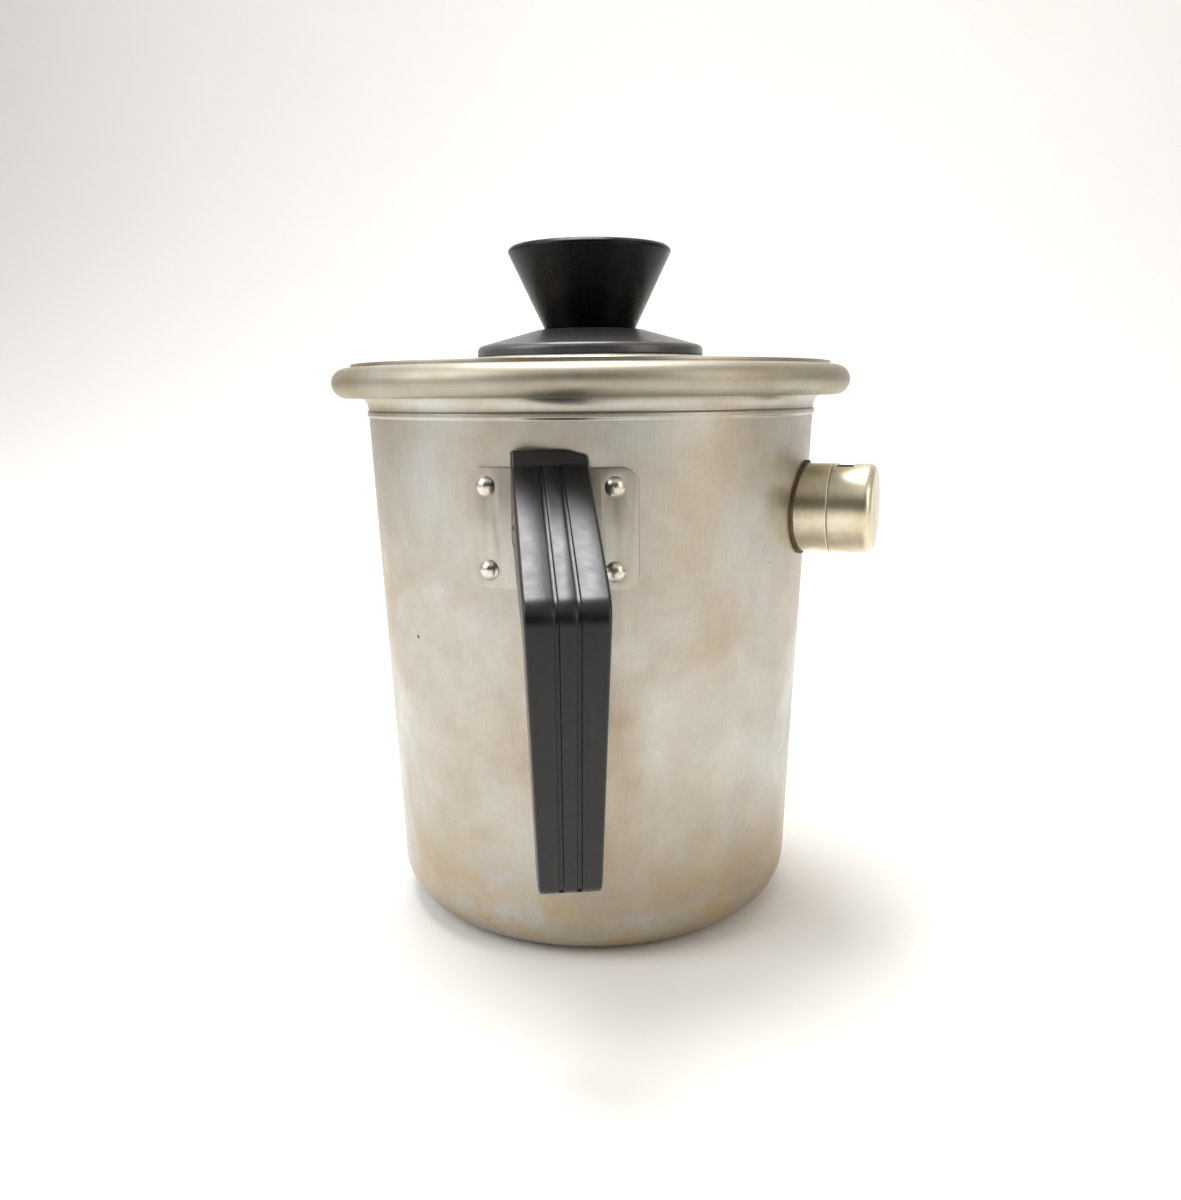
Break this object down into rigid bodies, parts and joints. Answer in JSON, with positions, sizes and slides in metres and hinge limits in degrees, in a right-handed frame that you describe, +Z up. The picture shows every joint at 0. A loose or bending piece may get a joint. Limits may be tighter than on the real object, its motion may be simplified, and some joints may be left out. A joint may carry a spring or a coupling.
{
  "type": "double-walled milk boiler",
  "caption": "Double-walled aluminium milk boiler with a rolled rim, lift-off lid and knob, riveted side handle, and a filler neck closed by a push-in whistle.",
  "frame": {"origin": "middle of the base's flat underside, on the pot's axis", "axes": "+Z up along the pot's axis; the handle's bracket faces -Y; the filler neck points 78.5 degrees round from it, close to +X"},
  "size_m": [0.153, 0.1826, 0.1859],
  "materials": {
    "spun_aluminium": "satin",
    "turned_aluminium": "satin, slightly yellowed",
    "rivet_aluminium": "worn",
    "sealant": "matt",
    "bakelite_handle": "worn satin",
    "bakelite_knob": "gloss",
    "steel": "plain",
    "brass": "plain"
  },
  "bodies": {
    "pot": {"outer_shell": "spun_aluminium", "inner_vessel": "spun_aluminium", "filler_neck": "turned_aluminium", "neck_seal": "sealant", "handle_bracket": "spun_aluminium", "rivet_upper_left": "rivet_aluminium", "rivet_upper_right": "rivet_aluminium", "rivet_lower_left": "rivet_aluminium", "rivet_lower_right": "rivet_aluminium", "handle": "bakelite_handle", "handle_screw": "steel", "handle_nut": "steel"},
    "lid": {"lid": "spun_aluminium", "knob_skirt": "bakelite_knob", "knob": "bakelite_knob", "knob_insert": "brass", "knob_screw": "steel", "knob_washer": "steel"},
    "whistle": {"whistle_cap": "turned_aluminium", "whistle_sleeve": "turned_aluminium", "whistle_disc": "brass"}
  },
  "joints": [
    {"name": "lid_lift", "type": "slide", "parent": "pot", "child": "lid", "axis": [0, 0, 1], "range_m": [0, 0.06]},
    {"name": "whistle_pull", "type": "slide", "parent": "pot", "child": "whistle", "axis": [0.9799, -0.1994, 0], "range_m": [0, 0.025]}
  ]
}
